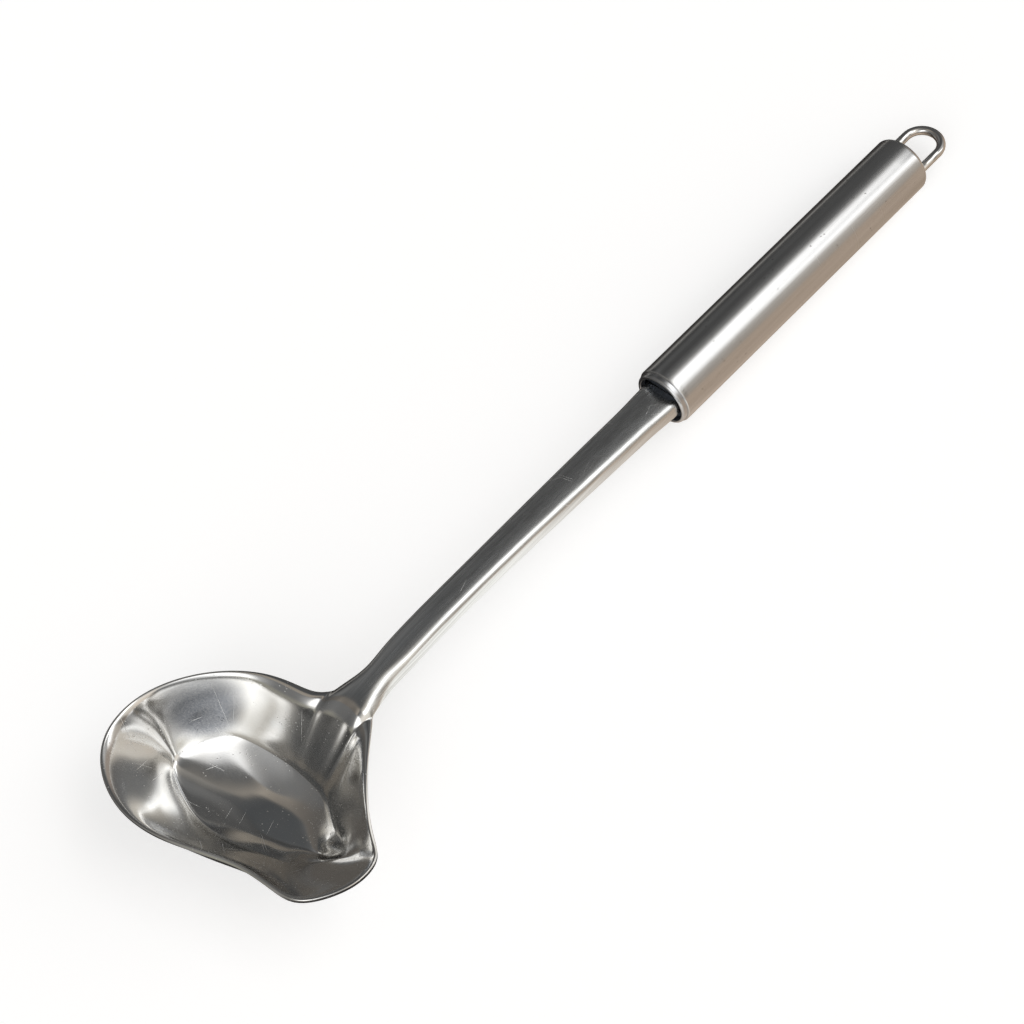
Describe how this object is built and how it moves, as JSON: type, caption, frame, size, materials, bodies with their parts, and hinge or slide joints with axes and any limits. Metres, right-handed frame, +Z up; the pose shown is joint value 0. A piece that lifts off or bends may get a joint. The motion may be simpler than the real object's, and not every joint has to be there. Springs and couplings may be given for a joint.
{
  "type": "sauce ladle",
  "caption": "Small steel ladle with an asymmetric bowl drawn into a side pouring spout, channel-section shank, round tube grip and wire hanging loop.",
  "frame": {"origin": "on the resting plane under the lowest point of the bowl's floor line, on the centre plane of the shank and grip", "axes": "+X from the bowl towards the hanging loop, +Y away from the pouring spout, +Z up out of the bowl's mouth"},
  "size_m": [0.3114, 0.0871, 0.028],
  "materials": {
    "bowl_steel": "polished stainless steel with fine brushing and use scratches",
    "grip_steel": "satin, brushed along the tube",
    "cap_steel": "satin",
    "wire_steel": "polished drawn wire"
  },
  "bodies": {
    "root": {"bowl_and_shank": "bowl_steel", "grip_tube": "grip_steel", "front_cap": "cap_steel", "end_cap": "cap_steel", "hanging_loop": "wire_steel"}
  },
  "joints": []
}
